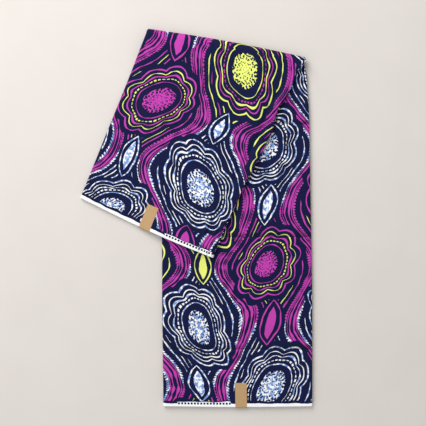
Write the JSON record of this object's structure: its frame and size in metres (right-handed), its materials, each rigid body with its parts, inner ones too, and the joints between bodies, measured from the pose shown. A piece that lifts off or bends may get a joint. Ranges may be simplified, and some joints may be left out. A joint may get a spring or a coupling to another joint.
{
  "type": "folded wax print fabric",
  "caption": "Length of wax print cotton folded into a long flat pile, one end turned back over it on a slant, with blank paper tabs at the selvedges.",
  "frame": {"origin": "centre of the overall bounding box in X and Y, on the surface that the cloth lies on", "axes": "+Z up from the surface; +Y along the lying pile, from its free selvedge towards the slanted turn; +X to the right as seen from above with +Y up"},
  "size_m": [0.4808, 0.7837, 0.0225],
  "materials": {
    "print": "plain woven cotton with a dense wax print in navy, magenta, lime yellow, sky blue and white, lightly calendered",
    "plies": "edges of the folded plies of the same printed cotton",
    "paper": "matt gold-brown paper, blank"
  },
  "bodies": {
    "root": {"run_plies": "plies", "run_cover": "print", "turned_plies": "plies", "turned_cover": "print", "run_tab": "paper", "turned_tab": "paper"}
  },
  "joints": []
}
